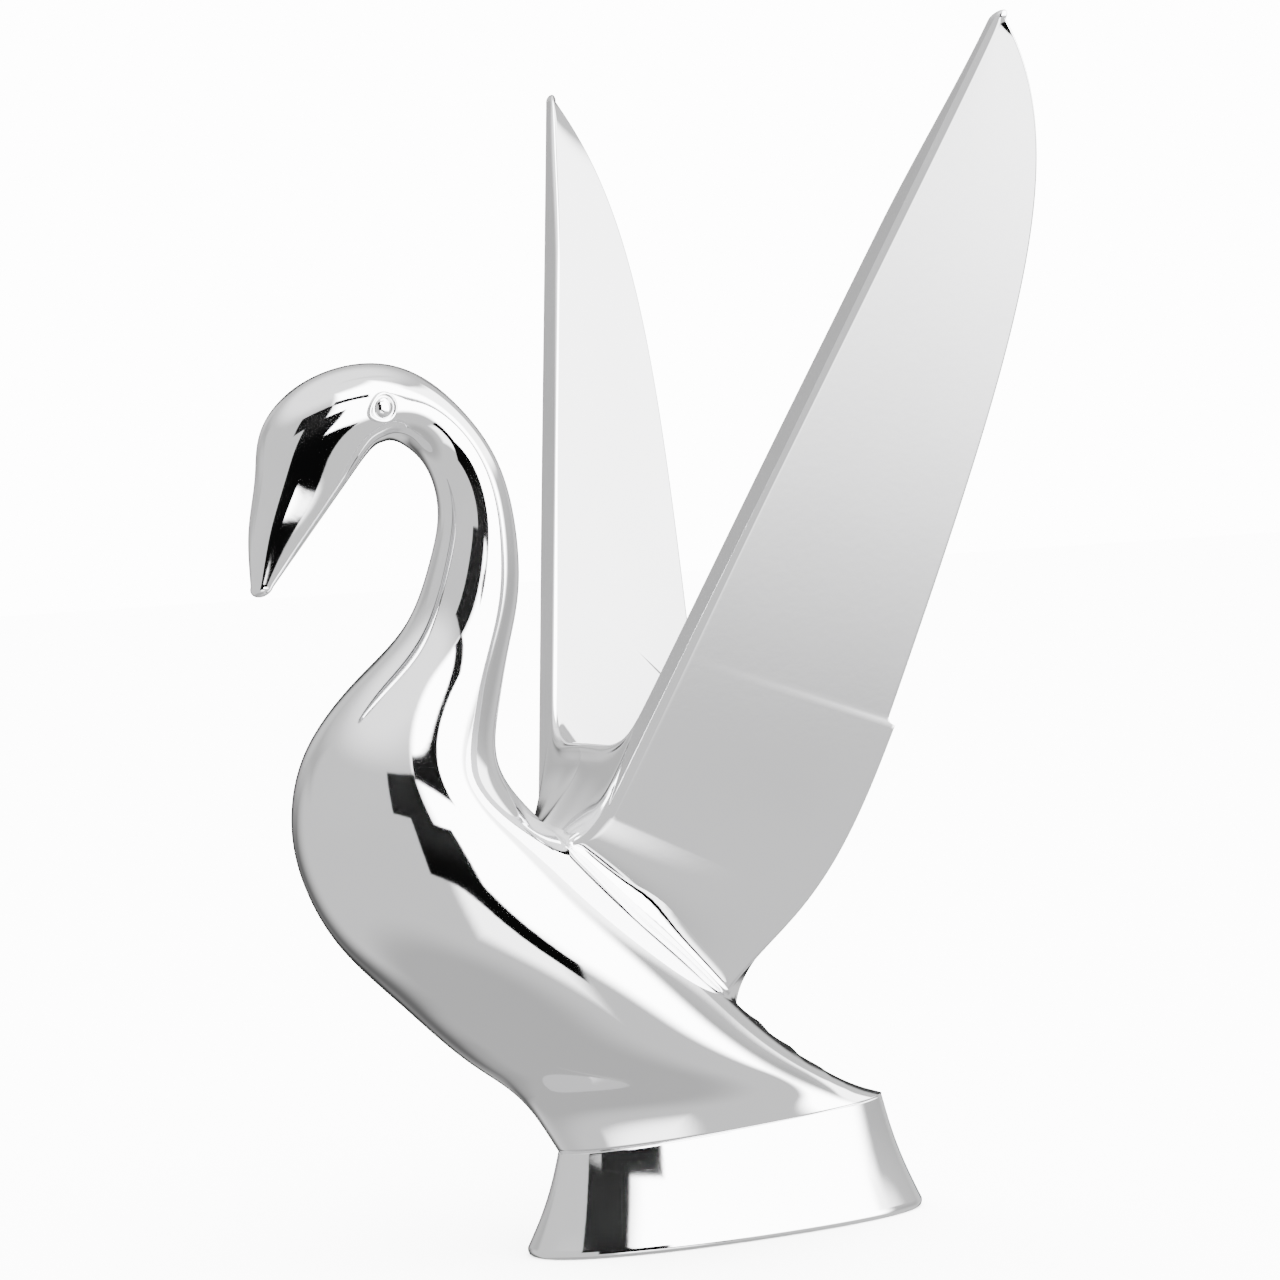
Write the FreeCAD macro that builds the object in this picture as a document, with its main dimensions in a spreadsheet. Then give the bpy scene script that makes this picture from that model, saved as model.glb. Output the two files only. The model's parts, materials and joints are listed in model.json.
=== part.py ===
import FreeCAD, Part
import math
import os

import Sketcher
from FreeCAD import Placement, Rotation, Vector

# Swan hood ornament. Millimetres. +Z up, the swan faces -Y, symmetric about the plane x = 0.
# The origin is on the mounting face, midway between the two studs.

doc = FreeCAD.newDocument("SwanOrnament")

# ---------------------------------------------------------------- driving dimensions
DIMENSIONS = {
    # overall sizes
    "crown_height": 134.2,          # top of the swan's head above the hood
    "body_reach": 71.0,             # bill to origin, along Y
    "wing_tip_height": 177.5,
    "wing_tip_spread": 66.7,        # tip to the plane of symmetry
    # pedestal
    "pedestal_height": 16.5,        # at the origin
    "deck_tilt": 2.75,              # degrees, rising towards the tail
    "foot_half_length": 33.9,
    "foot_half_width": 12.34,
    "foot_centre": 3.1,
    "deck_half_length": 28.3,
    "deck_half_width": 8.3,
    "deck_centre": 2.9,
    "deck_thickness": 3.0,
    "screw_seat_pad": 1.0,          # the screws' pads stand this far below the deck
    "rim_width": 2.6,
    "pedestal_wall": 2.2,
    # gasket
    "gasket_thickness": 2.0,
    "gasket_gap": 0.15,
    "gasket_hole_radius": 4.6,
    # swan body
    "body_wall": 3.2,
    "cavity_roof": 3.4,
    "back_slope": 45.0,             # degrees, how steeply the back falls to the tail
    "back_height": 39.4,            # the back's ridge above the origin
    "screw_boss_length": 6.8,
    "body_boss_top": 28.0,
    # wings
    "seat_depth": 5.0,              # how deep the wing casting sits in the back
    "leading_edge_width": 5.0,
    "trailing_edge_width": 1.0,
    "wing_tip_chord": 1.7,          # the blade's depth from leading to trailing edge at the tip
    "wing_round_chord": 18.4,       # what the rounding below the tip adds to it
    "wing_round_share": 0.208,      # how fast, as a share of the rise from saddle to tip
    "wing_taper_chord": 15.1,       # and what the steady taper adds down to the saddle
    "wing_flare": 0.36,             # the outer face's run outwards for each millimetre of that depth
    "saddle_height": 77.0,
    "saddle_lip": 16.8,             # the saddle's front lip ahead of the origin
    "trough_drop": 37.0,            # how far the trough's floor falls from the lip to its rear end
    "trough_run": 20.8,
    "gap_front_share": 0.62,        # the gap's half width at the front over the root's
    "gap_overrun": 1.4,             # the gap's run over the root's, so that it opens past the trailing edges
    "root_rear_wall": 1.7,
    # studs and nuts, M6
    "stud_spacing": 38.1,
    "stud_shank_radius": 3.0,
    "stud_thread_radius": 2.675,    # the thread's pitch radius
    "stud_end_chamfer": 0.8,
    "shank_below_face": 3.0,
    "stud_below_face": 27.0,
    "stud_in_boss": 10.5,
    "stud_boss_radius": 5.4,
    "grip": 3.2,                    # hood skin between the face and the washers at rest
    "thread_clearance": 0.06,
    "nut_flats": 10.0,
    "nut_height": 5.2,
    "washer_radius": 6.0,
    "washer_thickness": 1.6,
    "washer_bore": 3.2,
    "spring_washer_radius": 5.5,
    "spring_washer_thickness": 1.6,
    "spring_washer_slit": 1.0,
    # socket screws, M4
    "screw_radius": 2.0,
    "screw_hole_radius": 2.25,
    "screw_head_radius": 3.5,
    "screw_head_height": 4.0,
    "screw_hex_flats": 3.0,
    "screw_hex_depth": 2.0,
    "screw_washer_radius": 3.8,
    "screw_washer_thickness": 0.9,
    "wing_screw_length": 20.0,
    "body_screw_length": 12.0,
    "wing_screw_front_place": 16.0,  # ahead of the origin
    "wing_screw_rear_place": 0.0,
    "wing_screw_front_seat": 39.0,   # height of the boss face under each screw's washer
    "wing_screw_rear_seat": 23.0,
    "body_screw_offset": 7.5,        # ahead of and behind the origin
    "tap_run_out": 1.0,              # a tapped hole's depth past its screw's end
    "screw_end_chamfer": 0.6,
    "wing_boss_height": 14.0,
    "wing_boss_margin": 0.2,         # a boss face's radius over its washer's
    "screw_pad_margin": 0.3,
    "cut_overrun": 1.0,              # how far a cut is carried past a face, so that it comes through cleanly
}

# Sections of the swan from the deck to the face: centre along Y as a share of body_reach, height as a share
# of the rise from deck to crown, tilt in degrees, half depth as a share of body_reach, and half width over
# half depth.
SWAN_SECTIONS = {
    "tail": (-0.014, 0.034, -2.5, 0.403, 0.33),
    "rump": (-0.135, 0.085, -5.5, 0.404, 0.44),
    "belly": (-0.294, 0.165, -7.0, 0.403, 0.56),
    "side": (-0.442, 0.253, -5.5, 0.385, 0.66),
    "breast": (-0.568, 0.344, -4.5, 0.332, 0.78),
    "shoulder": (-0.648, 0.425, -5.5, 0.270, 0.90),
    "neck_root": (-0.677, 0.501, -10.4, 0.207, 0.95),
    "neck_low": (-0.615, 0.583, -17.0, 0.152, 0.95),
    "neck_waist": (-0.538, 0.656, -17.7, 0.110, 0.98),
    "neck_middle": (-0.493, 0.729, -19.8, 0.097, 0.98),
    "neck_high": (-0.480, 0.793, -10.7, 0.082, 0.98),
    "nape": (-0.506, 0.866, 19.5, 0.070, 0.98),
    "arch": (-0.566, 0.916, 55.0, 0.068, 0.98),
    "crown": (-0.651, 0.947, 97.0, 0.082, 0.98),
    "cheek": (-0.754, 0.946, 133.0, 0.099, 0.97),
    "face": (-0.814, 0.922, 150.0, 0.092, 0.84),
}
# The bill grows out of the head, from a section inside it to the tip, in the same terms.
BILL_SECTIONS = {
    "bill_start": (-0.792, 0.928, 156.0, 0.098, 0.74),
    "bill_root": (-0.830, 0.915, 165.0, 0.118, 0.76),
    "bill_middle": (-0.872, 0.867, 175.0, 0.099, 0.70),
    "bill_end": (-0.925, 0.803, 178.0, 0.068, 0.72),
    "bill_tip": (-0.977, 0.732, 176.0, 0.023, 0.90),
}
CAVITY_SECTIONS = ["tail", "rump", "belly", "side", "breast", "shoulder"]

# Level cuts through one wing above the saddle: height as a share of the rise from saddle to tip.
BLADE_CUTS = {
    "blade_root": -0.09,
    "blade_notch": 0.01,
    "blade_low": 0.16,
    "blade_waist": 0.31,
    "blade_middle": 0.51,
    "blade_high": 0.70,
    "blade_shoulder": 0.85,
    "blade_crest": 0.95,
    "blade_tip": 1.0,
}
# Level cuts through the wings' common root below the saddle: height, then the outer face's front end
# (out, behind) and rear end (out, behind).
ROOT_CUTS = {
    "root_foot": (30.0, 1.5, -8.0, 3.6, -2.4),
    "root_low": (40.0, 2.5, -16.0, 8.7, 2.8),
    "root_middle": (50.0, 4.6, -21.0, 15.4, 10.6),
    "root_high": (60.0, 7.9, -22.8, 20.9, 15.2),
    "root_top": (77.0, 16.2, -17.0, 28.6, 19.3),
}
WING_LEAN_BACK = 0.3407             # the leading edge's run to the rear for each millimetre of rise


def fill_sheet():
    sheet = doc.addObject("Spreadsheet::Sheet", "Dimensions")
    cells = dict(DIMENSIONS)
    cells["wing_lean_back"] = WING_LEAN_BACK
    for name, row in {**SWAN_SECTIONS, **BILL_SECTIONS}.items():
        for key, value in zip(("reach", "rise", "tilt", "depth", "roundness"), row):
            cells[f"{name}_{key}"] = value
    for name, rise in BLADE_CUTS.items():
        cells[f"{name}_rise"] = rise
    for name, row in ROOT_CUTS.items():
        for key, value in zip(("level", "front_out", "front_behind", "rear_out", "rear_behind"), row):
            cells[f"{name}_{key}"] = value
    for line, (alias, value) in enumerate(cells.items(), start=1):
        sheet.set(f"A{line}", alias)
        sheet.set(f"B{line}", str(value))
        sheet.setAlias(f"B{line}", alias)
    doc.recompute()
    return sheet


class Names(dict):
    """Turns {alias} in an expression's text into a reference to that cell."""

    def __missing__(self, key):
        return f"Dimensions.{key}"


def expr(text):
    return text.format_map(Names())


def bind(thing, path, text):
    thing.setExpression(path, expr(text))


# ---------------------------------------------------------------- helpers
def new_body(name):
    body = doc.addObject("PartDesign::Body", name)
    body.Label = name
    return body


def origin_plane(body, role):
    return next(f for f in body.Origin.OriginFeatures if f.Role == role)


def new_sketch(body, name, role="XY_Plane"):
    sketch = body.newObject("Sketcher::SketchObject", name)
    sketch.AttachmentSupport = [(origin_plane(body, role), "")]
    sketch.MapMode = "FlatFace"
    return sketch


def add_circle(sketch, radius, out="0", behind="0"):
    """A circle of the given radius, centred on the symmetry plane at a signed distance behind the origin."""
    circle = sketch.addGeometry(Part.Circle(Vector(0, 0, 0), Vector(0, 0, 1), 1.0))
    driven(sketch, Sketcher.Constraint("Radius", circle, 1.0), radius)
    pin_point(sketch, circle, 3, out, behind)
    return circle


def driven(sketch, constraint, text):
    index = sketch.addConstraint(constraint)
    sketch.setExpression(f"Constraints[{index}]", expr(text))
    return index


def pin_point(sketch, geometry, point, across, along):
    """Fixes a point of the geometry at (across, along) from the sketch's origin; "0" puts it on an axis."""
    if across == "0":
        sketch.addConstraint(Sketcher.Constraint("PointOnObject", geometry, point, -2))
    else:
        driven(sketch, Sketcher.Constraint("DistanceX", -1, 1, geometry, point, 1.0), across)
    if along == "0":
        sketch.addConstraint(Sketcher.Constraint("PointOnObject", geometry, point, -1))
    else:
        driven(sketch, Sketcher.Constraint("DistanceY", -1, 1, geometry, point, 1.0), along)


def add_ellipse(sketch, half_depth, half_width):
    """An ellipse about the sketch's origin, its long axis along the sketch's Y."""
    ellipse = sketch.addGeometry(Part.Ellipse(Vector(0, 20, 0), Vector(10, 0, 0), Vector(0, 0, 0)))
    sketch.exposeInternalGeometry(ellipse)
    long_axis, short_axis = ellipse + 1, ellipse + 2
    sketch.addConstraint(Sketcher.Constraint("Coincident", ellipse, 3, -1, 1))
    sketch.addConstraint(Sketcher.Constraint("Vertical", long_axis))
    driven(sketch, Sketcher.Constraint("Distance", long_axis, 40.0), f"2 * ({half_depth})")
    driven(sketch, Sketcher.Constraint("Distance", short_axis, 20.0), f"2 * ({half_width})")
    return ellipse


def add_polygon(sketch, corners):
    """A closed polygon; each corner is a pair of expressions, first across and then along."""
    count = len(corners)
    start = sketch.GeometryCount
    for i in range(count):
        angle, following = 2 * math.pi * i / count, 2 * math.pi * (i + 1) / count
        sketch.addGeometry(Part.LineSegment(
            Vector(20 + 9 * math.cos(angle), 20 + 9 * math.sin(angle), 0),
            Vector(20 + 9 * math.cos(following), 20 + 9 * math.sin(following), 0)))
    for i in range(count):
        sketch.addConstraint(Sketcher.Constraint("Coincident", start + i, 2, start + (i + 1) % count, 1))
    for i, (across, along) in enumerate(corners):
        pin_point(sketch, start + i, 1, across, along)


def add_hexagon(sketch, flats):
    """A hexagon about the sketch's origin, measured across its flats."""
    corners = []
    for i in range(6):
        angle = math.radians(60 * i)
        corners.append(Vector(5 * math.cos(angle), 5 * math.sin(angle), 0))
    start = sketch.GeometryCount
    for i in range(6):
        sketch.addGeometry(Part.LineSegment(corners[i], corners[(i + 1) % 6]))
    guide = sketch.addGeometry(Part.Circle(Vector(0, 0, 0), Vector(0, 0, 1), 5.0), True)
    sketch.addConstraint(Sketcher.Constraint("Coincident", guide, 3, -1, 1))
    for i in range(6):
        sketch.addConstraint(Sketcher.Constraint("Coincident", start + i, 2, start + (i + 1) % 6, 1))
        sketch.addConstraint(Sketcher.Constraint("PointOnObject", start + i, 1, guide))
    for i in range(5):
        sketch.addConstraint(Sketcher.Constraint("Equal", start + i, start + i + 1))
    sketch.addConstraint(Sketcher.Constraint("PointOnObject", start, 1, -1))
    driven(sketch, Sketcher.Constraint("Radius", guide, 5.0), f"({flats}) / 2 / cos(30)")


def pad(body, sketch, name, length, reverse=False):
    feature = body.newObject("PartDesign::Pad", name)
    feature.Profile = sketch
    feature.Reversed = reverse
    bind(feature, "Length", length)
    return feature


def pocket(body, sketch, name, length, reverse=False):
    """Cuts downwards from the sketch, or upwards when reversed."""
    feature = body.newObject("PartDesign::Pocket", name)
    feature.Profile = sketch
    feature.Reversed = reverse
    bind(feature, "Length", length)
    return feature


def loft(body, sketches, name, ruled=False, subtract=False):
    kind = "PartDesign::SubtractiveLoft" if subtract else "PartDesign::AdditiveLoft"
    feature = body.newObject(kind, name)
    feature.Profile = sketches[0]
    feature.Sections = sketches[1:]
    feature.Ruled = ruled
    return feature


def place(thing, behind="0", level="0"):
    """Puts a finished piece on the symmetry plane, at a distance behind the origin and at a level."""
    bind(thing, "Placement.Base.y", behind)
    bind(thing, "Placement.Base.z", level)


def boolean(kind, name, shapes):
    feature = doc.addObject(kind, name)
    if kind == "Part::Cut":
        feature.Base, feature.Tool = shapes
    else:
        feature.Shapes = shapes
    feature.Label = name
    return feature


def upright_cylinder(name, radius, behind, low, high):
    """A cylinder on the symmetry plane from one level to another."""
    cylinder = doc.addObject("Part::Cylinder", name)
    bind(cylinder, "Radius", radius)
    bind(cylinder, "Height", f"({high}) - ({low})")
    place(cylinder, behind, low)
    return cylinder


# ---------------------------------------------------------------- swan body
RISE = "({crown_height} - {pedestal_height})"


def section_sketch(body, name, inset=""):
    """One section of the swan, or of the cavity inside it when inset names the wall."""
    sketch = new_sketch(body, f"{body.Name}_{name}")
    sketch.AttachmentOffset = Placement(Vector(0, 0, 0), Rotation(Vector(1, 0, 0), 10))
    bind(sketch, "AttachmentOffset.Base.y", "{body_reach} * {%s_reach}" % name)
    bind(sketch, "AttachmentOffset.Base.z", "{pedestal_height} + %s * {%s_rise}" % (RISE, name))
    bind(sketch, "AttachmentOffset.Rotation.Angle", "{%s_tilt}" % name)
    half_depth = "{body_reach} * {%s_depth}" % name
    add_ellipse(sketch, f"{half_depth}{inset}", "%s * {%s_roundness}%s" % (half_depth, name, inset))
    return sketch


def deck_sketch(body, name, drop="0", inset=""):
    """The outline where swan and pedestal meet, on the tilted deck."""
    sketch = new_sketch(body, name)
    sketch.AttachmentOffset = Placement(Vector(0, 0, 0), Rotation(Vector(1, 0, 0), 10))
    bind(sketch, "AttachmentOffset.Base.y", "{deck_centre}")
    level = "{pedestal_height} + {deck_centre} * tan({deck_tilt})"
    bind(sketch, "AttachmentOffset.Base.z", f"{level} - ({drop})")
    bind(sketch, "AttachmentOffset.Rotation.Angle", "{deck_tilt}")
    add_ellipse(sketch, "{deck_half_length}%s" % inset, "{deck_half_width}%s" % inset)
    return sketch


def make_swan_skin():
    """The swan's outside: one loft from the deck up the neck to the face, and the bill grown out of it."""
    trunk = new_body("swan_trunk")
    rising = [section_sketch(trunk, name) for name in SWAN_SECTIONS]
    loft(trunk, [deck_sketch(trunk, "swan_trunk_deck")] + rising, "trunk_loft")
    bill = new_body("swan_bill")
    loft(bill, [section_sketch(bill, name) for name in BILL_SECTIONS], "bill_loft")
    return boolean("Part::MultiFuse", "swan_skin", [trunk, bill])


def make_cavity():
    """The core that leaves the body hollow, below a roof parallel to the back."""
    body = new_body("swan_core")
    sketches = [deck_sketch(body, "swan_core_deck", drop="{cut_overrun}", inset=" - {body_wall}")]
    sketches += [section_sketch(body, name, inset=" - {body_wall}") for name in CAVITY_SECTIONS]
    loft(body, sketches, "swan_core_loft")
    lid = sloping_slab("cavity_lid", *BACK_LINE, depth="{seat_depth} + {cavity_roof}", above=True)
    return boolean("Part::Cut", "swan_cavity", (body, lid))


# Lines in the plane of symmetry that fall to the rear: slope, then a point behind the origin and its level.
BACK_LINE = ("({back_slope} * 1 deg)", "0", "{back_height}")
TROUGH_LINE = ("atan({trough_drop} / {trough_run})", "-{saddle_lip}", "{saddle_height}")
SLAB_SIDE = 300                     # larger than the whole ornament


def sloping_slab(name, slope, behind, level, depth="0", above=False):
    """A large block above or below a sloping line, its face the given depth below the line."""
    box = doc.addObject("Part::Box", name)
    box.Length = box.Width = box.Height = SLAB_SIDE
    box.Placement = Placement(Vector(-SLAB_SIDE / 2, 0, 0), Rotation(Vector(1, 0, 0), -45))
    bind(box, "Placement.Rotation.Angle", f"360 deg - {slope}")
    down = f"({depth})" if above else f"({depth} + {SLAB_SIDE})"
    bind(box, "Placement.Base.y", f"{behind} - {SLAB_SIDE / 2} * cos({slope}) - {down} * sin({slope})")
    bind(box, "Placement.Base.z", f"{level} + {SLAB_SIDE / 2} * sin({slope}) - {down} * cos({slope})")
    return box


def make_body_bosses(skin):
    """Cross webs for the screws from the pedestal and round bosses for the wing screws."""
    shapes = []
    for side, sign in (("front", "-"), ("rear", "")):
        web = doc.addObject("Part::Box", f"body_web_{side}")
        web.Length = SLAB_SIDE
        bind(web, "Width", "{screw_boss_length}")
        bind(web, "Height", "{body_boss_top}")
        web.Placement = Placement(Vector(-SLAB_SIDE / 2, 0, 0), Rotation())
        bind(web, "Placement.Base.y", sign + "{body_screw_offset} - {screw_boss_length} / 2")
        shapes.append(web)
        behind = wing_screw_place(side)
        shapes.append(upright_cylinder(
            f"wing_boss_{side}", "{screw_washer_radius} + {wing_boss_margin}", behind,
            "{wing_screw_%s_seat}" % side, "{wing_screw_%s_seat} + {wing_boss_height}" % side))
    webs = boolean("Part::MultiFuse", "body_webs", shapes)
    return boolean("Part::MultiCommon", "body_bosses", [webs, skin])


def wing_screw_place(side):
    return {"front": "-{wing_screw_front_place}", "rear": "{wing_screw_rear_place}"}[side]


def body_screw_place(side):
    return {"front": "-{body_screw_offset}", "rear": "{body_screw_offset}"}[side]


def make_swan_body(wings):
    skin = make_swan_skin()
    shell = boolean("Part::Cut", "swan_shell", (skin, make_cavity()))
    solid = boolean("Part::MultiFuse", "swan_with_bosses", [shell, make_body_bosses(skin)])
    cutters = [wings]
    for side in ("front", "rear"):
        cutters.append(upright_cylinder(
            f"wing_hole_{side}", "{screw_hole_radius}", wing_screw_place(side),
            "{wing_screw_%s_seat} - {cut_overrun}" % side,
            "{wing_screw_%s_seat} + {wing_screw_length}" % side))
        cutters.append(upright_cylinder(
            f"body_tap_{side}", "{screw_radius}", body_screw_place(side),
            "{gasket_thickness}", "%s + {body_screw_length} + {tap_run_out}" % body_screw_seat()))
    tools = boolean("Part::MultiFuse", "swan_cutters", cutters)
    return boolean("Part::Cut", "swan_body", (solid, tools))


# ---------------------------------------------------------------- wing pair
def lead_out(level):
    """How far out the leading edge is at a level: it runs straight from the root's top corner to the tip."""
    lean = "({wing_tip_spread} - {root_top_front_out}) / ({wing_tip_height} - {saddle_height})"
    return "({root_top_front_out} + ((%s) - {saddle_height}) * %s)" % (level, lean)


def lead_behind(level):
    """How far behind the origin the leading edge is at a level, from its place at the saddle."""
    return "({root_top_front_behind} + ((%s) - {saddle_height}) * {wing_lean_back})" % level


def blade_level(name):
    return "({saddle_height} + ({wing_tip_height} - {saddle_height}) * {%s_rise})" % name


def blade_chord(name):
    """The blade's depth at a cut: it rounds off quickly below the tip, then tapers steadily."""
    fall = "(1 - {%s_rise})" % name
    rounding = "{wing_round_chord} * (1 - exp(-%s / {wing_round_share}))" % fall
    return "({wing_tip_chord} + %s + {wing_taper_chord} * %s)" % (rounding, fall)


def make_blade():
    """The left wing above the saddle: a wedge from the broad leading edge to the thin trailing edge."""
    body = new_body("left_blade")
    sketches = []
    for name in BLADE_CUTS:
        level = blade_level(name)
        sketch = new_sketch(body, f"cut_{name}")
        inner = f"{lead_out(level)} - {{leading_edge_width}}"
        bind(sketch, "AttachmentOffset.Base.x", inner)
        bind(sketch, "AttachmentOffset.Base.y", lead_behind(level))
        bind(sketch, "AttachmentOffset.Base.z", level)
        rear_behind = blade_chord(name)
        rear_out = "{leading_edge_width} + {wing_flare} * (%s - {wing_tip_chord})" % rear_behind
        add_polygon(sketch, [
            ("0", "0"),
            ("{leading_edge_width}", "0"),
            (rear_out, rear_behind),
            (f"{rear_out} - {{trailing_edge_width}}", rear_behind),
        ])
        sketches.append(sketch)
    loft(body, sketches, "blade_loft")
    return body


def make_root():
    """The wings' common root, a block between the two outer faces, up to the saddle."""
    body = new_body("wing_root")
    sketches = []
    for name in ROOT_CUTS:
        sketch = new_sketch(body, f"cut_{name}")
        bind(sketch, "AttachmentOffset.Base.y", "{%s_front_behind}" % name)
        bind(sketch, "AttachmentOffset.Base.z", "{%s_level}" % name)
        bind(sketch, "AttachmentOffset.Base.x", "-{%s_rear_out}" % name)
        length = "{%s_rear_behind} - ({%s_front_behind})" % (name, name)
        add_polygon(sketch, [
            ("{%s_rear_out} - {%s_front_out}" % (name, name), "0"),
            ("{%s_rear_out} + {%s_front_out}" % (name, name), "0"),
            ("2 * {%s_rear_out}" % name, length),
            ("0", length),
        ])
        sketches.append(sketch)
    loft(body, sketches, "root_loft")
    return body


def make_trough():
    """The room between the wings above the saddle's floor, which falls from the lip to the tail."""
    body = new_body("wing_gap")
    sketches = []
    for name in ROOT_CUTS:
        front = "({%s_front_out} * {gap_front_share})" % name
        rear = "({%s_rear_out} - {root_rear_wall})" % name
        run = "({%s_rear_behind} - ({%s_front_behind}))" % (name, name)
        rear = f"({front} + ({rear} - {front}) * {{gap_overrun}})"
        sketch = new_sketch(body, f"gap_{name}")
        bind(sketch, "AttachmentOffset.Base.x", f"-{rear}")
        bind(sketch, "AttachmentOffset.Base.y", "{%s_front_behind}" % name)
        bind(sketch, "AttachmentOffset.Base.z", "{%s_level}" % name)
        length = f"{run} * {{gap_overrun}}"
        add_polygon(sketch, [
            (f"{rear} - {front}", "0"), (f"{rear} + {front}", "0"), (f"2 * {rear}", length), ("0", length)])
        sketches.append(sketch)
    loft(body, sketches, "gap_loft")
    return boolean("Part::Cut", "wing_trough", (body, sloping_slab("trough_floor", *TROUGH_LINE)))


def make_wing_pair():
    blade = make_blade()
    mirrored = doc.addObject("Part::Mirroring", "right_blade")
    mirrored.Source = blade
    mirrored.Normal = Vector(1, 0, 0)
    root = boolean("Part::Cut", "root_with_trough", (make_root(), make_trough()))
    blank = boolean("Part::MultiFuse", "wing_blank", [blade, mirrored, root])
    seat = sloping_slab("wing_seat", *BACK_LINE, depth="{seat_depth}")
    seated = boolean("Part::Cut", "wings_seated", (blank, seat))
    taps = [upright_cylinder(
        f"wing_tap_{side}", "{screw_radius}", wing_screw_place(side), "{wing_screw_%s_seat}" % side,
        "{wing_screw_%s_seat} - {screw_washer_thickness} + {wing_screw_length} + {tap_run_out}" % side)
        for side in ("front", "rear")]
    holes = boolean("Part::MultiFuse", "wing_taps", taps)
    return seated, boolean("Part::Cut", "wing_pair", (seated, holes))


# ---------------------------------------------------------------- pedestal and gasket
def body_screw_seat():
    """The level at which a pedestal screw's head bears on its washer."""
    return "({pedestal_height} - {deck_thickness} - {screw_seat_pad} - {screw_washer_thickness})"


def foot_sketch(body, name, inset=""):
    sketch = new_sketch(body, name)
    bind(sketch, "AttachmentOffset.Base.y", "{foot_centre}")
    add_ellipse(sketch, "{foot_half_length}%s" % inset, "{foot_half_width}%s" % inset)
    return sketch


def level_sketch(body, name, level):
    sketch = new_sketch(body, name)
    bind(sketch, "AttachmentOffset.Base.z", level)
    return sketch


def make_pedestal():
    body = new_body("pedestal")
    outlines = [foot_sketch(body, "foot_outline"), deck_sketch(body, "deck_outline")]
    loft(body, outlines, "flared_wall", ruled=True)
    hollow = [
        foot_sketch(body, "hollow_foot", " - {rim_width}"),
        deck_sketch(body, "hollow_top", "{deck_thickness}", " - {pedestal_wall}"),
    ]
    loft(body, hollow, "hollow", ruled=True, subtract=True)
    bosses = level_sketch(body, "stud_bosses", "{gasket_thickness}")
    for behind in ("-{stud_spacing} / 2", "{stud_spacing} / 2"):
        add_circle(bosses, "{stud_boss_radius}", behind=behind)
    pad(body, bosses, "stud_boss_pads", "{pedestal_height} - {gasket_thickness} - {deck_thickness} / 2")
    seats = level_sketch(body, "screw_seats", "{pedestal_height} - {deck_thickness} - {screw_seat_pad}")
    for behind in (body_screw_place("front"), body_screw_place("rear")):
        add_circle(seats, "{screw_washer_radius} + {screw_pad_margin}", behind=behind)
    pad(body, seats, "screw_seat_pads", "{screw_seat_pad} + {deck_thickness} / 2")
    taps = level_sketch(body, "stud_taps", "{gasket_thickness}")
    for behind in ("-{stud_spacing} / 2", "{stud_spacing} / 2"):
        add_circle(taps, "{stud_thread_radius}", behind=behind)
    pocket(body, taps, "stud_tap_holes", "{stud_in_boss} + {tap_run_out} / 2", reverse=True)
    holes = level_sketch(body, "screw_holes", "{gasket_thickness}")
    for behind in (body_screw_place("front"), body_screw_place("rear")):
        add_circle(holes, "{screw_hole_radius}", behind=behind)
    pocket(body, holes, "screw_clearance_holes", "{pedestal_height} * 2", reverse=True)
    return body


def make_gasket():
    body = new_body("base_gasket")
    outline = foot_sketch(body, "gasket_outline", " - {rim_width} - {gasket_gap} - {gasket_thickness} / 3")
    pad(body, outline, "gasket_sheet", "{gasket_thickness}")
    holes = level_sketch(body, "gasket_holes", "0")
    for behind in ("-{stud_spacing} / 2", "{stud_spacing} / 2"):
        add_circle(holes, "{gasket_hole_radius}", behind=behind)
    pocket(body, holes, "gasket_stud_holes", "{gasket_thickness}", reverse=True)
    return body


# ---------------------------------------------------------------- hardware
def revolve(body, corners, name):
    """Turns a closed outline of (radius, level) corners about the piece's own Z axis."""
    sketch = new_sketch(body, f"{body.Name}_{name}_outline", "XZ_Plane")
    add_polygon(sketch, corners)
    feature = body.newObject("PartDesign::Revolution", f"{body.Name}_{name}")
    feature.Profile = sketch
    feature.ReferenceAxis = (sketch, ["V_Axis"])
    feature.Angle = 360
    return feature


def make_socket_screw(name, length, behind, seat):
    """A socket-head screw standing on its head, the underside of the head at the piece's origin."""
    body = new_body(name)
    revolve(body, [
        ("0", "-{screw_head_height}"),
        ("{screw_head_radius}", "-{screw_head_height}"),
        ("{screw_head_radius}", "0"),
        ("{screw_radius}", "0"),
        ("{screw_radius}", f"{length} - {{screw_end_chamfer}}"),
        ("{screw_radius} - {screw_end_chamfer}", length),
        ("0", length),
    ], "turned")
    socket = level_sketch(body, f"{name}_socket", "-{screw_head_height}")
    add_hexagon(socket, "{screw_hex_flats}")
    pocket(body, socket, f"{name}_hex", "{screw_hex_depth}", reverse=True)
    place(body, behind, seat)
    return body


def make_ring(name, outer, inner, thickness, behind, level, slit=""):
    """A washer lying with its lower face at the level; a slit makes it a split spring washer."""
    body = new_body(name)
    outline = new_sketch(body, f"{name}_outline")
    add_circle(outline, outer)
    add_circle(outline, inner)
    pad(body, outline, f"{name}_ring", thickness)
    if slit:
        gap = new_sketch(body, f"{name}_gap")
        bind(gap, "AttachmentOffset.Base.x", f"-({slit}) / 2")
        beyond = f"{outer} + {{cut_overrun}}"
        add_polygon(gap, [("0", "0"), (slit, "0"), (slit, beyond), ("0", beyond)])
        pocket(body, gap, f"{name}_slit", thickness, reverse=True)
    place(body, behind, level)
    return body


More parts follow.
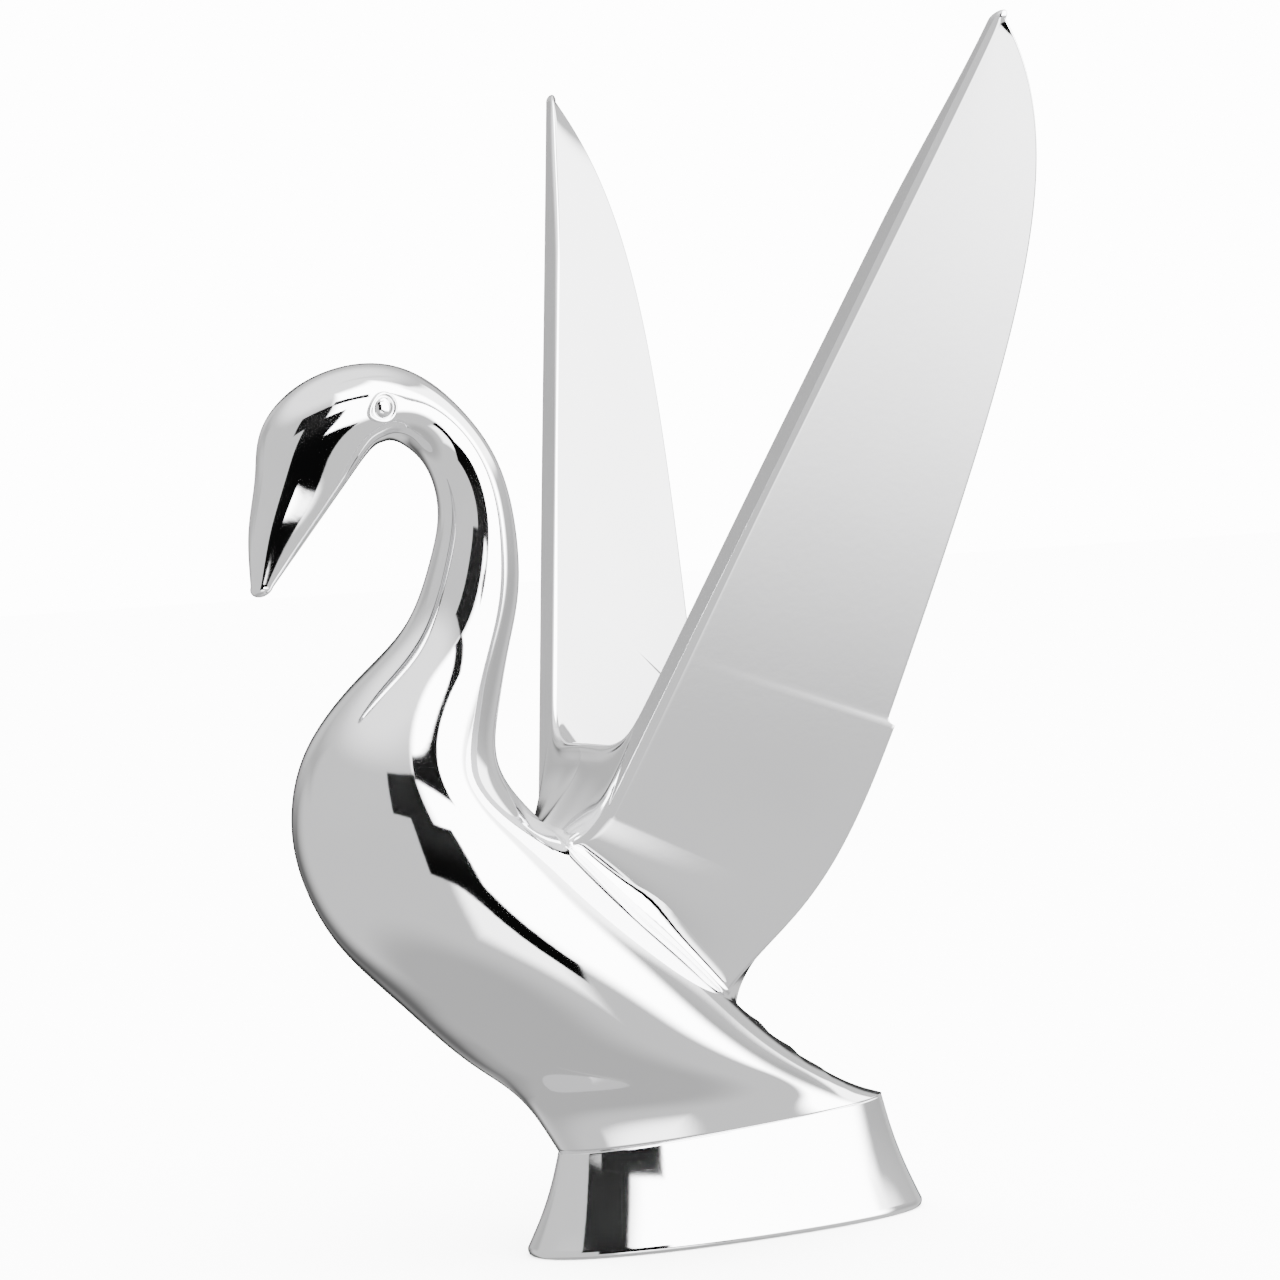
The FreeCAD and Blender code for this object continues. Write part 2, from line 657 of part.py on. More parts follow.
def make_stud(name, behind):
    """A double-ended stud, its plain shank from the pedestal's boss down through the hood."""
    body = new_body(name)
    revolve(body, [
        ("0", "-{stud_below_face}"),
        ("{stud_thread_radius} - {stud_end_chamfer}", "-{stud_below_face}"),
        ("{stud_thread_radius}", "-{stud_below_face} + {stud_end_chamfer}"),
        ("{stud_thread_radius}", "-{shank_below_face}"),
        ("{stud_shank_radius}", "-{shank_below_face}"),
        ("{stud_shank_radius}", "{gasket_thickness}"),
        ("{stud_thread_radius}", "{gasket_thickness}"),
        ("{stud_thread_radius}", "{gasket_thickness} + {stud_in_boss}"),
        ("0", "{gasket_thickness} + {stud_in_boss}"),
    ], "turned")
    place(body, behind)
    return body


def make_nut(name, behind, top):
    """A hex nut with chamfered corners, its upper face at the given level."""
    body = new_body(name)
    outline = new_sketch(body, f"{name}_hex")
    add_hexagon(outline, "{nut_flats}")
    pad(body, outline, f"{name}_prism", "{nut_height}", reverse=True)
    beyond = "({nut_flats} / 2 / cos(30) + {cut_overrun})"
    for end, (level, inwards) in {"top": ("0", "-"), "foot": ("-{nut_height}", "+")}.items():
        bevel = new_sketch(body, f"{name}_bevel_{end}", "XZ_Plane")
        add_polygon(bevel, [
            ("{nut_flats} / 2", level),
            (beyond, level),
            (beyond, "%s %s (%s - {nut_flats} / 2) * tan(30)" % (level, inwards, beyond)),
        ])
        groove = body.newObject("PartDesign::Groove", f"{name}_bevel_cut_{end}")
        groove.Profile = bevel
        groove.ReferenceAxis = (bevel, ["V_Axis"])
        groove.Angle = 360
    bore = new_sketch(body, f"{name}_bore")
    add_circle(bore, "{stud_thread_radius} + {thread_clearance}")
    pocket(body, bore, f"{name}_thread", "{nut_height}")
    place(body, behind, top)
    return body


def make_clamp_stack(side, behind):
    """The flat washer, split washer and nut under the hood on one stud."""
    washer = "(-{grip} - {washer_thickness})"
    spring = "(%s - {spring_washer_thickness})" % washer
    return [
        make_ring(f"flat_washer_{side}", "{washer_radius}", "{washer_bore}", "{washer_thickness}", behind,
                  washer),
        make_ring(f"lock_washer_{side}", "{spring_washer_radius}", "{washer_bore}",
                  "{spring_washer_thickness}",
                  behind, spring, slit="{spring_washer_slit}"),
        make_nut(f"hex_nut_{side}", behind, spring),
    ]


def make_screw_and_washer(use, side, behind, seat):
    """A socket screw and its split washer under a boss face at the given level."""
    under_head = "(%s - {screw_washer_thickness})" % seat
    return [
        make_socket_screw(f"{use}_screw_{side}", "{%s_screw_length}" % use, behind, under_head),
        make_ring(f"{use}_lock_washer_{side}", "{screw_washer_radius}", "{screw_hole_radius}",
                  "{screw_washer_thickness}", behind, under_head, slit="{spring_washer_slit}"),
    ]


def make_hardware():
    pieces = []
    for side, sign in (("front", "-"), ("rear", "")):
        stud_place = sign + "{stud_spacing} / 2"
        pieces.append(make_stud(f"mounting_stud_{side}", stud_place))
        pieces += make_clamp_stack(side, stud_place)
        pieces += make_screw_and_washer("wing", side, wing_screw_place(side), "{wing_screw_%s_seat}" % side)
        pieces += make_screw_and_washer("body", side, body_screw_place(side),
                                        "{pedestal_height} - {deck_thickness} - {screw_seat_pad}")
    return pieces


# ---------------------------------------------------------------- build, check, write
def check(pieces):
    for thing in doc.Objects:
        if "Invalid" in thing.State or "Error" in thing.State:
            raise RuntimeError(f"{thing.Name} did not compute: {thing.State}")
    for piece in pieces:
        if piece.Shape.isNull() or not piece.Shape.isValid():
            raise RuntimeError(f"{piece.Label} has no valid shape")
        if piece.Shape.Volume <= 0 or len(piece.Shape.Solids) != 1:
            raise RuntimeError(f"{piece.Label} is {len(piece.Shape.Solids)} solids")


def main():
    fill_sheet()
    seated, wing_pair = make_wing_pair()
    pieces = [wing_pair, make_swan_body(seated), make_pedestal(), make_gasket()]
    pieces += make_hardware()
    doc.recompute()
    check(pieces)
    os.makedirs("parts", exist_ok=True)
    for piece in pieces:
        piece.Shape.exportStep(f"parts/{piece.Label}.step")
        print(f"{piece.Label}: {piece.Shape.Volume:.1f} mm3")


main()
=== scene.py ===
import json
import math

import bmesh
import bpy
import numpy as np
from mathutils import Matrix, Vector
from mathutils.bvhtree import BVHTree

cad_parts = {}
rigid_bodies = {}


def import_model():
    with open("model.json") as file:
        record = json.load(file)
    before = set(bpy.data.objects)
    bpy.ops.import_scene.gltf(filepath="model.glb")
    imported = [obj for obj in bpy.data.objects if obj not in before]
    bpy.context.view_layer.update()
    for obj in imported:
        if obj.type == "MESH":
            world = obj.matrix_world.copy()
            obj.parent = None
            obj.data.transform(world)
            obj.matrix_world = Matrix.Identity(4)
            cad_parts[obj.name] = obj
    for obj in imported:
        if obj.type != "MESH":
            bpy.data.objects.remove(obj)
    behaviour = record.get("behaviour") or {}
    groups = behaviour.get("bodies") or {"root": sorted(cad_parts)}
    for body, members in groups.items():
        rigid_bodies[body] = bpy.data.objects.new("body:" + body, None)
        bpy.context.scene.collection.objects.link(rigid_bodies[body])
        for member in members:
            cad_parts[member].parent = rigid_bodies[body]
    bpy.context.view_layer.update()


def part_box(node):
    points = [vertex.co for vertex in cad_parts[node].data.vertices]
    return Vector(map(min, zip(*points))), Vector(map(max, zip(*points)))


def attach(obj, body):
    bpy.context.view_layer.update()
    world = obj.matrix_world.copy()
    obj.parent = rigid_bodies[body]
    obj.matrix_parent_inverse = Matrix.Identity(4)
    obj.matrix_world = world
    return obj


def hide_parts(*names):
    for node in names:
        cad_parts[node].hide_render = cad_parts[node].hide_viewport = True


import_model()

# Swan hood ornament in polished chrome. Lengths are millimetres until a mesh is made; +Z is up, the swan
# faces -Y, and it is symmetric about x = 0.
MM = 0.001
BODY = "ornament"


# ---------------------------------------------------------------- curves and meshes
def spline(knots, values):
    """A natural cubic spline through the values, as a function of the knots' variable."""
    knots, values = np.asarray(knots, float), np.asarray(values, float)
    count, steps = len(knots), np.diff(knots)
    system = np.eye(count)
    right = np.zeros_like(values)
    for i in range(1, count - 1):
        system[i, i - 1:i + 2] = steps[i - 1], 2 * (steps[i - 1] + steps[i]), steps[i]
        right[i] = 3 * ((values[i + 1] - values[i]) / steps[i] - (values[i] - values[i - 1]) / steps[i - 1])
    bend = np.linalg.solve(system, right)

    def at(where):
        where = np.atleast_1d(where)
        i = np.clip(np.searchsorted(knots, where, side="right") - 1, 0, count - 2)
        along = (where - knots[i]).reshape(-1, *[1] * (values.ndim - 1))
        step = steps[i].reshape(along.shape)
        slope = (values[i + 1] - values[i]) / step - step * (2 * bend[i] + bend[i + 1]) / 3
        return values[i] + along * (slope + along * (bend[i] + along * (bend[i + 1] - bend[i]) / (3 * step)))

    return at


def chord_spline(points):
    """A spline through points, over its own length, and that length."""
    points = np.asarray(points, float)
    length = np.r_[0, np.cumsum(np.linalg.norm(np.diff(points, axis=0), axis=1))]
    return spline(length, points), length[-1]


def smooth_step(x):
    x = np.clip(x, 0, 1)
    return x * x * (3 - 2 * x)


def make_mesh(name, points, faces, material):
    """A shaded mesh object from points in millimetres."""
    data = bpy.data.meshes.new(name)
    data.from_pydata((np.asarray(points) * MM).tolist(), [], [list(f) for f in faces])
    work = bmesh.new()
    work.from_mesh(data)
    bmesh.ops.remove_doubles(work, verts=work.verts, dist=0.0005 * MM)
    bmesh.ops.recalc_face_normals(work, faces=work.faces)
    work.to_mesh(data)
    work.free()
    data.polygons.foreach_set("use_smooth", [True] * len(data.polygons))
    data.materials.append(material)
    piece = bpy.data.objects.new(name, data)
    bpy.context.scene.collection.objects.link(piece)
    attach(piece, BODY)
    return piece


def sharpen(piece, degrees):
    """Breaks the shading where faces meet at more than this angle."""
    work = bmesh.new()
    work.from_mesh(piece.data)
    for edge in work.edges:
        if len(edge.link_faces) == 2 and edge.calc_face_angle() > math.radians(degrees):
            edge.smooth = False
    work.to_mesh(piece.data)
    work.free()


def surface_tree(piece):
    work = bmesh.new()
    work.from_mesh(piece.data)
    bmesh.ops.triangulate(work, faces=work.faces)
    tree = BVHTree.FromBMesh(work)
    work.free()
    return tree


def tube_faces(rows, columns):
    """Quads of a closed tube of rings, with each end closed by a fan round its own centre point."""
    faces = []
    for i in range(rows - 1):
        for j in range(columns):
            k = (j + 1) % columns
            a, b = i * columns, (i + 1) * columns
            faces.append((a + j, a + k, b + k, b + j))
    first, last = rows * columns, rows * columns + 1
    end = (rows - 1) * columns
    for j in range(columns):
        k = (j + 1) % columns
        faces.append((k, j, first))
        faces.append((end + j, end + k, last))
    return faces


def tube(rings):
    """Points and faces of a closed tube through rings, an array of rows x columns x 3."""
    rows, columns = rings.shape[:2]
    points = np.vstack([rings.reshape(-1, 3), rings[0].mean(0), rings[-1].mean(0)])
    return points, tube_faces(rows, columns)


# ---------------------------------------------------------------- materials
def chrome(name, tint=(0.93, 0.93, 0.94), roughness=0.03, spread=0.03, grain=900.0, ripple=0.000004):
    """Polished chrome plate: a faint drift of roughness, fine polishing grain and a shallow ripple."""
    material = bpy.data.materials.new(name)
    material.use_nodes = True
    tree = material.node_tree
    shader = tree.nodes["Principled BSDF"]
    shader.inputs["Metallic"].default_value = 1.0
    place = tree.nodes.new("ShaderNodeTexCoord")

    def noise(scale, detail):
        node = tree.nodes.new("ShaderNodeTexNoise")
        node.inputs["Scale"].default_value = scale
        node.inputs["Detail"].default_value = detail
        tree.links.new(place.outputs["Object"], node.inputs["Vector"])
        return node.outputs["Fac"]

    def spread_over(source, low, high):
        node = tree.nodes.new("ShaderNodeMapRange")
        node.inputs["From Min"].default_value = 0.3
        node.inputs["From Max"].default_value = 0.7
        node.inputs["To Min"].default_value = low
        node.inputs["To Max"].default_value = high
        tree.links.new(source, node.inputs["Value"])
        return node.outputs["Result"]

    drift = noise(45.0, 3.0)
    tree.links.new(spread_over(drift, roughness, roughness + spread), shader.inputs["Roughness"])
    ramp = tree.nodes.new("ShaderNodeValToRGB")
    ramp.color_ramp.elements[0].position = 0.3
    ramp.color_ramp.elements[1].position = 0.7
    ramp.color_ramp.elements[0].color = (*[c * 0.97 for c in tint], 1)
    ramp.color_ramp.elements[1].color = (*tint, 1)
    tree.links.new(drift, ramp.inputs["Fac"])
    tree.links.new(ramp.outputs["Color"], shader.inputs["Base Color"])
    bump = tree.nodes.new("ShaderNodeBump")
    bump.inputs["Distance"].default_value = ripple
    bump.inputs["Strength"].default_value = 0.5
    tree.links.new(noise(grain, 2.0), bump.inputs["Height"])
    tree.links.new(bump.outputs["Normal"], shader.inputs["Normal"])
    return material


CHROME = chrome("chrome_plate")


def worked(name, dark, light, metallic, roughness, spread, grain, height, stretch=(1.0, 1.0, 1.0)):
    """A worked surface: two tones, a drift of roughness and a fine grain that can be drawn out one way."""
    material = bpy.data.materials.new(name)
    material.use_nodes = True
    tree = material.node_tree
    shader = tree.nodes["Principled BSDF"]
    shader.inputs["Metallic"].default_value = metallic
    place = tree.nodes.new("ShaderNodeTexCoord")
    drawn = tree.nodes.new("ShaderNodeMapping")
    drawn.inputs["Scale"].default_value = stretch
    tree.links.new(place.outputs["Object"], drawn.inputs["Vector"])
    blotch = tree.nodes.new("ShaderNodeTexNoise")
    blotch.inputs["Scale"].default_value = grain * 0.25
    blotch.inputs["Detail"].default_value = 5.0
    tree.links.new(drawn.outputs["Vector"], blotch.inputs["Vector"])
    ramp = tree.nodes.new("ShaderNodeValToRGB")
    ramp.color_ramp.elements[0].position = 0.35
    ramp.color_ramp.elements[1].position = 0.65
    ramp.color_ramp.elements[0].color = (*dark, 1)
    ramp.color_ramp.elements[1].color = (*light, 1)
    tree.links.new(blotch.outputs["Fac"], ramp.inputs["Fac"])
    tree.links.new(ramp.outputs["Color"], shader.inputs["Base Color"])
    matt = tree.nodes.new("ShaderNodeMapRange")
    matt.inputs["To Min"].default_value = roughness
    matt.inputs["To Max"].default_value = roughness + spread
    tree.links.new(blotch.outputs["Fac"], matt.inputs["Value"])
    tree.links.new(matt.outputs["Result"], shader.inputs["Roughness"])
    fine = tree.nodes.new("ShaderNodeTexNoise")
    fine.inputs["Scale"].default_value = grain
    fine.inputs["Detail"].default_value = 4.0
    tree.links.new(drawn.outputs["Vector"], fine.inputs["Vector"])
    bump = tree.nodes.new("ShaderNodeBump")
    bump.inputs["Distance"].default_value = height
    bump.inputs["Strength"].default_value = 0.6
    tree.links.new(fine.outputs["Fac"], bump.inputs["Height"])
    tree.links.new(bump.outputs["Normal"], shader.inputs["Normal"])
    return material


def dress(start, material):
    """Gives the material to every carried-over node whose name starts so."""
    for thing in bpy.context.scene.objects:
        if thing.type == "MESH" and thing.name.startswith(start):
            for slot in thing.material_slots:
                slot.material = material


def dress_hardware():
    zinc = worked("zinc_plate", (0.48, 0.49, 0.50), (0.66, 0.67, 0.68), 1.0, 0.24, 0.16, 1400.0, 0.00002)
    thread = worked("rolled_thread", (0.44, 0.45, 0.46), (0.62, 0.63, 0.64), 1.0, 0.28, 0.16, 1100.0, 0.00003,
                    (1.0, 1.0, 4.0))
    oxide = worked("black_oxide", (0.018, 0.018, 0.020), (0.05, 0.05, 0.055), 0.8, 0.38, 0.2, 1600.0, 0.00002)
    rubber = worked("gasket_rubber", (0.012, 0.012, 0.013), (0.03, 0.03, 0.032), 0.0, 0.62, 0.2, 1800.0,
                    0.00004)
    for start, material in (("base_gasket", rubber), ("mounting_stud", thread), ("hex_nut", zinc),
                            ("flat_washer", zinc), ("lock_washer", zinc), ("wing_screw", oxide),
                            ("wing_lock_washer", oxide), ("body_screw", oxide), ("body_lock_washer", oxide)):
        dress(start, material)


dress_hardware()

# ---------------------------------------------------------------- swan
# Sections from the bill's tip to the tail: centre behind the origin and height, tilt in degrees, half depth,
# half width and how square the section is (2 is an ellipse).
SWAN = [
    (-69.4, 102.6, 176, 1.6, 1.5, 2.3),
    (-65.7, 111.0, 178, 4.8, 3.5, 2.7),
    (-61.9, 118.5, 175, 7.0, 4.9, 2.6),
    (-58.9, 124.2, 165, 8.4, 6.4, 2.2),
    (-53.5, 127.8, 133, 7.0, 6.9, 2.0),
    (-46.2, 128.0, 97, 5.8, 5.7, 2.0),
    (-40.2, 124.3, 55, 4.8, 4.8, 2.0),
    (-35.9, 118.4, 19.5, 5.0, 5.0, 2.0),
    (-34.1, 109.8, -10.7, 5.85, 5.8, 2.0),
    (-35.0, 102.3, -19.8, 6.9, 6.7, 2.0),
    (-38.2, 93.7, -17.7, 7.8, 7.7, 2.0),
    (-43.7, 85.1, -17, 10.8, 10.2, 2.0),
    (-48.1, 75.5, -10.4, 14.7, 14.0, 2.0),
    (-46.0, 66.5, -5.5, 19.2, 17.3, 2.0),
    (-40.3, 57.0, -4.5, 23.6, 18.4, 2.0),
    (-31.4, 46.3, -5.5, 27.3, 18.0, 2.0),
    (-20.9, 35.9, -7, 28.6, 16.0, 2.0),
    (-9.6, 26.5, -5.5, 28.7, 12.6, 2.0),
    (-1.0, 20.5, -2.5, 28.6, 9.4, 2.0),
    (2.9, 16.64, 2.75, 28.3, 8.3, 2.15),
]
SWAN_ROWS = 420
SWAN_COLUMNS = 144
TIP_ROWS = 12


def swan_rings():
    stations = np.array(SWAN, float)
    length = np.r_[0, np.cumsum(np.hypot(*np.diff(stations[:, :2], axis=0).T))]
    at = spline(length, stations)
    v = at(np.linspace(0, length[-1], SWAN_ROWS))
    behind, up, tilt, deep, wide, square = v.T
    tilt = np.radians(tilt)
    turn = np.linspace(0, 2 * math.pi, SWAN_COLUMNS, endpoint=False)
    power = (2 / square)[:, None]
    across = np.sign(np.cos(turn)) * np.abs(np.cos(turn)) ** power * wide[:, None]
    along = np.sign(np.sin(turn)) * np.abs(np.sin(turn)) ** power * deep[:, None]
    rings = np.stack([across, behind[:, None] + along * np.cos(tilt)[:, None],
                      up[:, None] + along * np.sin(tilt)[:, None]], -1)
    # the bill's rounded tip
    centre = rings[0].mean(0)
    forward = rings[0].mean(0) - rings[1].mean(0)
    forward /= np.linalg.norm(forward)
    dome = [centre + (rings[0] - centre) * math.cos(a) + forward * deep[0] * math.sin(a)
            for a in np.linspace(math.pi / 2, 0, TIP_ROWS, endpoint=False)[1:]]
    rings = scalloped(rings)
    return np.concatenate([dome, rings])


# The tail feathers: where each one ends behind the origin, then how high, wide and long a feather is, and
# how far its end takes to drop as a share of its length.
SCALLOPS = [8.4, 13.9, 19.3, 22.7]
SCALLOP_DEPTH, SCALLOP_HALF_WIDTH, SCALLOP_RUN, SCALLOP_DROP = 0.5, 5.0, 4.6, 0.2
BACK_HEIGHT, BACK_REACH = 39.4, 5.0
UP_FROM_BACK = np.array([0, 0.707, 0.707])


def scalloped(rings):
    """Feather steps along the ridge of the tail: each rises slowly and then drops."""
    behind, up = rings[..., 1], rings[..., 2]
    ridge = smooth_step(1.3 - np.abs(rings[..., 0]) / SCALLOP_HALF_WIDTH)
    near_back = smooth_step(1 - np.abs(up - (BACK_HEIGHT - behind)) / BACK_REACH)
    lift = np.zeros_like(behind)
    for step in SCALLOPS:
        along = (behind - step) / SCALLOP_RUN
        lift += np.where((along > -1) & (along <= 0), (1 + along) ** 2, 0.0)
        lift += np.where((along > 0) & (along < SCALLOP_DROP), 1 - along / SCALLOP_DROP, 0.0)
    return rings + (lift * ridge * near_back * SCALLOP_DEPTH)[..., None] * UP_FROM_BACK


# The eyes: a domed eyeball in an almond rim on each side of the head. The profile runs from the rim's foot
# over the rim and up the dome: distance from the middle as a share of the radius, and height.
EYE_BEHIND, EYE_UP, EYE_RADIUS = -51.6, 127.6, 1.7
EYE_PROFILE = [(1.36, -0.5), (1.34, 0.0), (1.26, 0.22), (1.12, 0.24), (1.02, 0.04), (0.96, -0.05),
               (0.9, 0.12), (0.75, 0.34), (0.55, 0.5), (0.3, 0.6), (0.08, 0.63)]
EYE_POINT = 0.35                    # how far the rim is drawn out towards the bill
BILL_WARD = np.array([0, -0.9, -0.35])


def make_eye(side, name):
    """An almond rim and a dome, laid on the head where a level line from that side meets it."""
    tree = surface_tree(swan)
    outside = Vector((side * 30, EYE_BEHIND, EYE_UP)) * MM
    place, normal, _, _ = tree.ray_cast(outside, Vector((-side, 0, 0)))
    middle, normal = np.array(place) / MM, np.array(normal)
    forward = BILL_WARD - normal * np.dot(BILL_WARD, normal)
    forward /= np.linalg.norm(forward)
    up = np.cross(normal, forward)
    turn = np.linspace(0, 2 * math.pi, 48, endpoint=False)
    almond = 1 + EYE_POINT * np.maximum(np.cos(turn), 0) ** 3
    rows = []
    for reach, height in EYE_PROFILE:
        stretch = almond if reach > 1.0 else np.ones_like(turn)
        flat = (np.cos(turn) * stretch)[:, None] * forward + np.sin(turn)[:, None] * up
        rows.append(middle + flat * EYE_RADIUS * reach + normal * height)
    points, faces = tube(np.array(rows))
    return make_mesh(name, points, faces, CHROME)


swan_points, swan_faces = tube(swan_rings())
swan = make_mesh("swan_shell", swan_points, swan_faces, CHROME)
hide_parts("swan_body")
make_eye(1, "eye_left")
make_eye(-1, "eye_right")

# ---------------------------------------------------------------- wings
wing_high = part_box("wing_pair")[1]
TIP_Z, SPREAD = wing_high.z / MM, wing_high.x / MM
LIP_Z = 77.0
LIP_Y = -17.0
ROOT_TOP_OUT = 16.2
LEAD_OUT, LEAD_BACK = (SPREAD - ROOT_TOP_OUT) / (TIP_Z - LIP_Z), 0.3407
TIP_BEHIND = 17.24
# the blade's depth from leading to trailing edge: at the tip, its rounding and its steady taper
TIP_CHORD, ROUND_CHORD, ROUND_SHARE, TAPER_CHORD = 1.7, 18.4, 0.208, 15.1
FLARE = 0.36
NOTCH_Z, STEP_Z = 77.6, 77.0
ROOT_FOOT_Z, ROOT_SHUT_RISE = 30.0, 3.0
# inside the root the rear edge bends through this point to the foot of the trough
TROUGH_BEND, TROUGH_FOOT = np.array([7.0, 1.0, 40.0]), np.array([0.0, 6.5, 31.5])
# below the notch: behind the origin and height of the few points that the root's rear edge turns through
ROOT_REAR = [(19.4, STEP_Z), (15.0, 60.0), (10.3, 50.0), (2.6, 40.0), (-0.6, 34.0), (-1.0, ROOT_FOOT_Z)]
NAPE = [(0.0, -31.0, 66.0), (4.0, -30.0, 64.3), (7.8, -25.6, 62.6)]


def leading(z):
    z = np.asarray(z, float)
    return np.stack([SPREAD - LEAD_OUT * (TIP_Z - z), TIP_BEHIND - LEAD_BACK * (TIP_Z - z), z], -1)


def trailing(z):
    """The blade's trailing edge: the outer face runs out and back from the leading edge by the chord."""
    fall = (TIP_Z - np.asarray(z, float)) / (TIP_Z - LIP_Z)
    chord = TIP_CHORD + ROUND_CHORD * (1 - np.exp(-fall / ROUND_SHARE)) + TAPER_CHORD * fall
    return leading(z) + np.stack([FLARE * (chord - TIP_CHORD), chord, 0 * chord], -1)


def root_trailing(z):
    """The root's rear edge below the notch, on the same outer face until it closes on the symmetry plane."""
    behind = np.interp(z, ROOT_REAR_LINE[:, 1], ROOT_REAR_LINE[:, 0])
    front = leading(z)
    out = np.maximum(front[..., 0] + FLARE * (behind - front[..., 1] - TIP_CHORD), 0.0)
    shut = smooth_step((np.asarray(z, float) - ROOT_FOOT_Z) / ROOT_SHUT_RISE)
    return np.stack([out * shut, behind, np.asarray(z, float)], -1)


def root_rear_line():
    """Many points along the spline through the few of ROOT_REAR."""
    at, length = chord_spline(ROOT_REAR)
    return at(np.linspace(length, 0, 300))


def facet_width(z):
    """Width of the flat leading facet, narrower towards the tip."""
    return 5.0 - 2.0 * smooth_step((np.asarray(z, float) - 150.0) / 27.5)


ROOT_REAR_LINE = root_rear_line()
ROOT_ROWS = 60
BLADE_ROWS = 220
TRAIL_POINTS = 900
TOP_OF_ROOT = {"inner": 81.4, "outer": 66.0, "trailing": 50.8}


def wing_edges():
    """The four long edges of the left wing, from the plane of symmetry to the tip."""
    # inner front edge: the bottom of the U, its round, then the straight edge
    straight = leading(np.linspace(TOP_OF_ROOT["inner"], TIP_Z, BLADE_ROWS))
    straight[:, 0] -= facet_width(straight[:, 2])
    corner = leading(LIP_Z)
    corner[0] -= 5.0
    rise = straight[1] - straight[0]
    rise /= np.linalg.norm(rise)
    tangent = np.linalg.norm(straight[0] - corner)
    start = corner - np.array([tangent, 0, 0])
    t = np.linspace(0, 1, ROOT_ROWS)[:, None]
    split = start[0] / (start[0] + 1.8 * tangent)
    flat = np.array([0, LIP_Y, LIP_Z]) + (start - [0, LIP_Y, LIP_Z]) * (t / split)
    s = (t - split) / (1 - split)
    bend = (1 - s) ** 2 * start + 2 * s * (1 - s) * corner + s ** 2 * straight[0]
    lip = np.where(t < split, flat, bend)
    inner = np.vstack([lip[:-1], straight])
    # outer front edge
    edge = leading(np.linspace(TOP_OF_ROOT["outer"], TIP_Z, BLADE_ROWS))
    nape, length = chord_spline(NAPE + [tuple(leading(TOP_OF_ROOT["outer"])), tuple(leading(72.0))])
    knee = length - np.linalg.norm(leading(72.0) - leading(TOP_OF_ROOT["outer"]))
    outer = np.vstack([nape(np.linspace(0, knee, ROOT_ROWS))[:-1], edge])
    # trailing edges
    trail = np.vstack([root_trailing(np.linspace(ROOT_FOOT_Z, STEP_Z, TRAIL_POINTS)),
                       trailing(np.linspace(NOTCH_Z, TIP_Z, TRAIL_POINTS))])
    return inner, outer, trail


def level_rows(curve, levels):
    """Points of a curve that rises steadily, at these levels."""
    return np.stack([np.interp(levels, curve[:, 2], curve[:, i]) for i in range(3)], -1)


def wing_half():
    """Corner points of the left wing's rows: outer front, outer rear, inner rear, inner front."""
    inner, outer, trail = wing_edges()
    top, foot = TOP_OF_ROOT["trailing"], trail[0, 2]
    rising = np.linspace(foot, top, ROOT_ROWS)[:-1]
    levels = np.concatenate([rising, np.linspace(top, TIP_Z, BLADE_ROWS)])
    rear_out = level_rows(trail, levels)
    rear_in = rear_out - [1.0, 0.0, 0.0]
    start = rear_in[ROOT_ROWS - 1].copy()
    s = np.linspace(1, 0, ROOT_ROWS)[:, None]
    rear_in[:ROOT_ROWS] = (1 - s) ** 2 * start + 2 * s * (1 - s) * TROUGH_BEND + s ** 2 * TROUGH_FOOT
    corners = np.stack([outer, rear_out, rear_in, inner], 1)
    corners[:, 2:] = ease_rows(corners[:, 2:])
    return corners


def ease_rows(rows):
    """Takes the kink out of the rows where the root hands over to the blade."""
    reach = 18
    weight = np.hanning(2 * reach + 3)[1:-1]
    weight /= weight.sum()
    eased = rows.copy()
    for i in range(reach, ROOT_ROWS + 3 * reach):
        away = abs(i - ROOT_ROWS) / (2.5 * reach)
        mean = np.tensordot(weight, rows[i - reach:i + reach + 1], 1)
        eased[i] += (mean - rows[i]) * (1 - smooth_step(away * 2 - 1))
    return eased


SIDE_POINTS = {0: 48, 1: 2, 2: 48, 3: 14}
CORNER_POINTS = 9


def corner_radii(level):
    """How far the rounding reaches at the outer front, outer rear, inner rear and inner front corners."""
    low = smooth_step((125.0 - level) / 45.0)
    return 0.9 + 0.9 * low, 0.45, 0.45, 1.1 + 1.2 * low


def round_loop(corners):
    """One row: the four-cornered loop with rounded corners."""
    radii = corner_radii(corners[3, 2])
    points = []
    starts, ends = [], []
    for i in range(4):
        a, b = corners[i], corners[(i + 1) % 4]
        side = b - a
        size = max(np.linalg.norm(side), 1e-6)
        r0 = min(radii[i], size * 0.45)
        r1 = min(radii[(i + 1) % 4], size * 0.45)
        starts.append(a + side * r0 / size)
        ends.append(b - side * r1 / size)
    for i in range(4):
        a, b = starts[i], ends[i]
        n = SIDE_POINTS[i]
        share = np.linspace(0, 1, n)
        share = share - 0.12 * np.sin(2 * math.pi * share)
        points.extend(a + (b - a) * s for s in share)
        c, d = corners[(i + 1) % 4], starts[(i + 1) % 4]
        for s in np.linspace(0, 1, CORNER_POINTS + 2)[1:-1]:
            points.append((1 - s) ** 2 * b + 2 * s * (1 - s) * c + s * s * d)
    return np.array(points)


